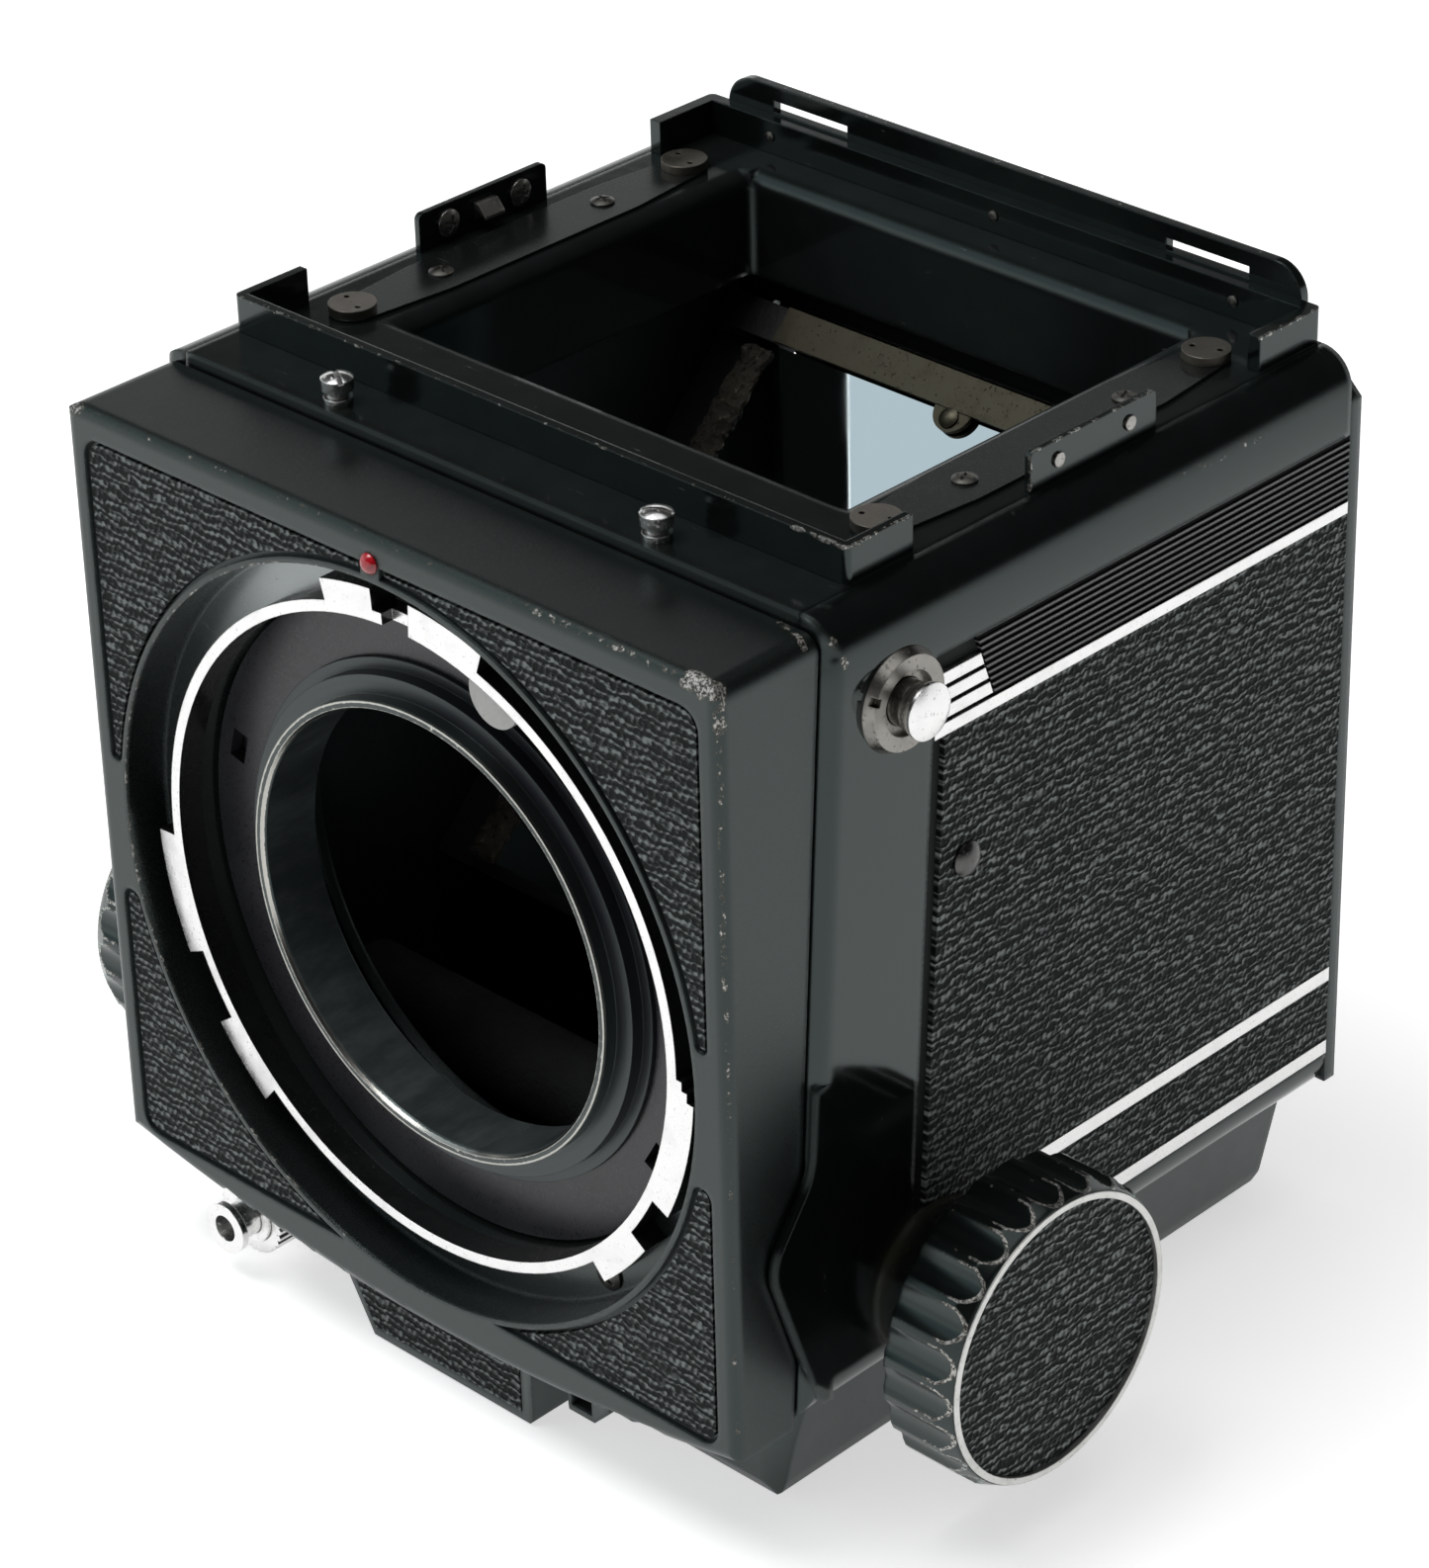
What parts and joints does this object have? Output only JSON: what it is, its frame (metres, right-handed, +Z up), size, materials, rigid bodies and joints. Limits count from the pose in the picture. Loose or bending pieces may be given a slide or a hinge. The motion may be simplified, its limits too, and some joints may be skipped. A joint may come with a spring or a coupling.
{
  "type": "medium format reflex camera body",
  "caption": "Boxy black medium-format single-lens reflex camera body with a bellows-focused front standard, bayonet lens opening, swinging mirror and open finder seat.",
  "frame": {"origin": "centre of the tripod socket's mouth, on the underside of the base", "axes": "+Z up, the lens opening faces -Y, +X is to the right when looking at the lens opening from in front"},
  "size_m": [0.1432, 0.1052, 0.1228],
  "materials": {
    "black_paint": "semi-gloss black enamel, worn to bare metal along its edges",
    "leatherette": "matte black leatherette with a fine wavy grain",
    "chrome": "bright chrome plate",
    "worn_steel": "dull, lightly worn steel",
    "brass_bar": "tarnished olive brass",
    "mirror_glass": "front-silvered glass",
    "bellows_cloth": "matte black pleated cloth",
    "foam": "crumbling dark foam",
    "red_dot": "glossy red bead",
    "ivory_tab": "dusty off-white",
    "throat_metal": "black anodised metal with a bright worn rim",
    "matte_black": "matte black anti-reflection paint"
  },
  "bodies": {
    "body": {"body_casting": "black_paint", "top_deck": "black_paint", "gate_frame": "black_paint", "chamber_front_wall": "black_paint", "side_cover_left": "black_paint", "side_cover_right": "black_paint", "base_housing": "black_paint", "base_leather": "leatherette", "side_leather_left": "leatherette", "side_leather_right": "leatherette", "side_stripes_left": "chrome", "side_stripes_right": "chrome", "name_strip_left": "black_paint", "name_strip_right": "black_paint", "strap_washers": "worn_steel", "strap_lug_left": "chrome", "strap_lug_right": "chrome", "side_plug": "worn_steel", "rear_plate": "black_paint", "rear_bracket": "black_paint", "finder_front_wall": "black_paint", "finder_rear_wall": "black_paint", "spring_strips": "black_paint", "spring_discs": "worn_steel", "seat_screws": "worn_steel", "clip_left": "black_paint", "clip_right": "black_paint", "clip_screws": "chrome", "clip_tab": "worn_steel", "finder_posts": "chrome", "tripod_bush": "worn_steel", "shaft_sleeve": "matte_black", "mirror_pin": "worn_steel", "release_sleeve": "chrome", "bellows": "bellows_cloth"},
    "standard": {"lens_board": "black_paint", "board_leathers": "leatherette", "bayonet_ring": "chrome", "ring_tab": "ivory_tab", "ring_screws": "worn_steel", "index_dot": "red_dot", "throat_tube": "throat_metal", "focus_rack_left": "worn_steel", "focus_rack_right": "worn_steel"},
    "cocking_ring": {"cocking_ring": "matte_black"},
    "focus_drive": {"focus_shaft": "worn_steel", "focus_knob_left": "black_paint", "focus_knob_right": "black_paint", "knob_rings": "chrome", "knob_leathers": "leatherette", "focus_pinions": "brass_bar"},
    "mirror": {"mirror_frame": "matte_black", "mirror_glass": "mirror_glass", "mirror_bar": "brass_bar", "mirror_foam": "foam"},
    "baffle": {"light_baffle": "matte_black"},
    "lever": {"cocking_lever": "black_paint", "lever_cap": "leatherette"},
    "release_button": {"release_button": "chrome"},
    "release_collar": {"release_collar": "chrome"}
  },
  "joints": [
    {"name": "focus_slide", "type": "slide", "parent": "body", "child": "standard", "axis": [0, -1, 0], "range_m": [0, 0.046], "deforming": ["bellows"]},
    {"name": "focus_turn", "type": "hinge", "parent": "body", "child": "focus_drive", "pos_m": [0, -0.0242, 0.0259], "axis": [1, 0, 0], "range_deg": [0, 367]},
    {"name": "mirror_swing", "type": "hinge", "parent": "body", "child": "mirror", "pos_m": [0, 0.041, 0.0942], "axis": [-1, 0, 0], "range_deg": [0, 45]},
    {"name": "baffle_swing", "type": "hinge", "parent": "body", "child": "baffle", "pos_m": [0, 0.041, 0.0942], "axis": [-1, 0, 0], "range_deg": [0, 84]},
    {"name": "lever_swing", "type": "hinge", "parent": "body", "child": "lever", "pos_m": [-0.0525, -0.001, 0.0572], "axis": [1, 0, 0], "range_deg": [0, 65]},
    {"name": "cocking_turn", "type": "hinge", "parent": "standard", "child": "cocking_ring", "pos_m": [0, -0.04565, 0.0612], "axis": [0, -1, 0], "range_deg": [0, 40]},
    {"name": "release_press", "type": "slide", "parent": "body", "child": "release_button", "axis": [0, 1, 0], "range_m": [0, 0.0026], "stiffness_N_per_m": 300},
    {"name": "release_lock", "type": "hinge", "parent": "body", "child": "release_collar", "pos_m": [-0.0355, -0.0465, 0.0066], "axis": [0, -1, 0], "range_deg": [0, 60]}
  ],
  "couplings": [
    {"joint": "focus_turn", "follows": "focus_slide", "rad_per_m": 138.89},
    {"joint": "baffle_swing", "follows": "mirror_swing", "ratio": 1.86},
    {"joint": "cocking_turn", "follows": "lever_swing", "ratio": 0.6}
  ]
}
